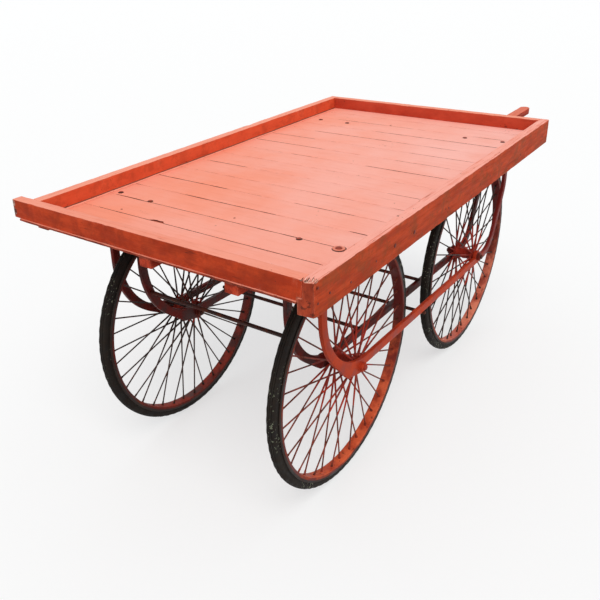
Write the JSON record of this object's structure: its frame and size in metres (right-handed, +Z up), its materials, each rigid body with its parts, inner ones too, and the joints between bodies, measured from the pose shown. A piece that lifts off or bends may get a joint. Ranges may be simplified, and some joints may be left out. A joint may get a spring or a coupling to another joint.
{
  "type": "four-wheeled handcart",
  "caption": "Hand-pushed street cart: flat wooden deck with low rims on spoked wire wheels, hung between bent iron bearing bars, with a pushing shaft.",
  "frame": {"origin": "on the ground under the middle of the cart's overall outline, shaft and front board included", "axes": "+X along the deck to the end with the pushing shaft, +Y to the left side, +Z up; each wheel turns about Y"},
  "size_m": [2.114, 1.002, 0.857],
  "materials": {
    "deck_wood": "matt, worn red paint over planks",
    "frame_wood": "matt, weathered red-orange paint",
    "bar_iron": "matt red paint with rust",
    "rim_paint": "satin red-orange paint, dirty",
    "spoke_steel": "dull, rusty",
    "axle_steel": "dull, oily",
    "tyre_rubber": "matt solid rubber, dusty"
  },
  "bodies": {
    "cart": {"deck_planks": "deck_wood", "side_rail_left": "frame_wood", "side_rail_right": "frame_wood", "front_board": "frame_wood", "rear_board": "frame_wood", "beam_inner_left": "frame_wood", "beam_middle": "frame_wood", "beam_inner_right": "frame_wood", "cross_bearer_front_left": "frame_wood", "cross_bearer_front_right": "frame_wood", "cross_bearer_rear_left": "frame_wood", "cross_bearer_rear_right": "frame_wood", "bearing_bar_left_outer": "bar_iron", "bearing_bar_left_inner": "bar_iron", "bearing_bar_right_inner": "bar_iron", "bearing_bar_right_outer": "bar_iron", "cross_tie_front": "bar_iron", "cross_tie_middle": "bar_iron", "cross_tie_rear": "bar_iron", "hanger_tie_front": "bar_iron", "hanger_tie_rear": "bar_iron", "axle_front_left": "axle_steel", "axle_nuts_front_left": "axle_steel", "axle_front_right": "axle_steel", "axle_nuts_front_right": "axle_steel", "axle_rear_left": "axle_steel", "axle_nuts_rear_left": "axle_steel", "axle_rear_right": "axle_steel", "axle_nuts_rear_right": "axle_steel"},
    "wheel_front_left": {"tyre_front_left": "tyre_rubber", "rim_front_left": "rim_paint", "spokes_front_left": "spoke_steel", "hub_front_left": "bar_iron"},
    "wheel_front_right": {"tyre_front_right": "tyre_rubber", "rim_front_right": "rim_paint", "spokes_front_right": "spoke_steel", "hub_front_right": "bar_iron"},
    "wheel_rear_left": {"tyre_rear_left": "tyre_rubber", "rim_rear_left": "rim_paint", "spokes_rear_left": "spoke_steel", "hub_rear_left": "bar_iron"},
    "wheel_rear_right": {"tyre_rear_right": "tyre_rubber", "rim_rear_right": "rim_paint", "spokes_rear_right": "spoke_steel", "hub_rear_right": "bar_iron"}
  },
  "joints": [
    {"name": "front_left_wheel_spin", "type": "hinge", "parent": "cart", "child": "wheel_front_left", "pos_m": [-0.618, 0.2795, 0.381], "axis": [0, 1, 0], "continuous": true},
    {"name": "front_right_wheel_spin", "type": "hinge", "parent": "cart", "child": "wheel_front_right", "pos_m": [-0.618, -0.3315, 0.381], "axis": [0, 1, 0], "continuous": true},
    {"name": "rear_left_wheel_spin", "type": "hinge", "parent": "cart", "child": "wheel_rear_left", "pos_m": [0.297, 0.2795, 0.381], "axis": [0, 1, 0], "continuous": true},
    {"name": "rear_right_wheel_spin", "type": "hinge", "parent": "cart", "child": "wheel_rear_right", "pos_m": [0.297, -0.3315, 0.381], "axis": [0, 1, 0], "continuous": true}
  ]
}
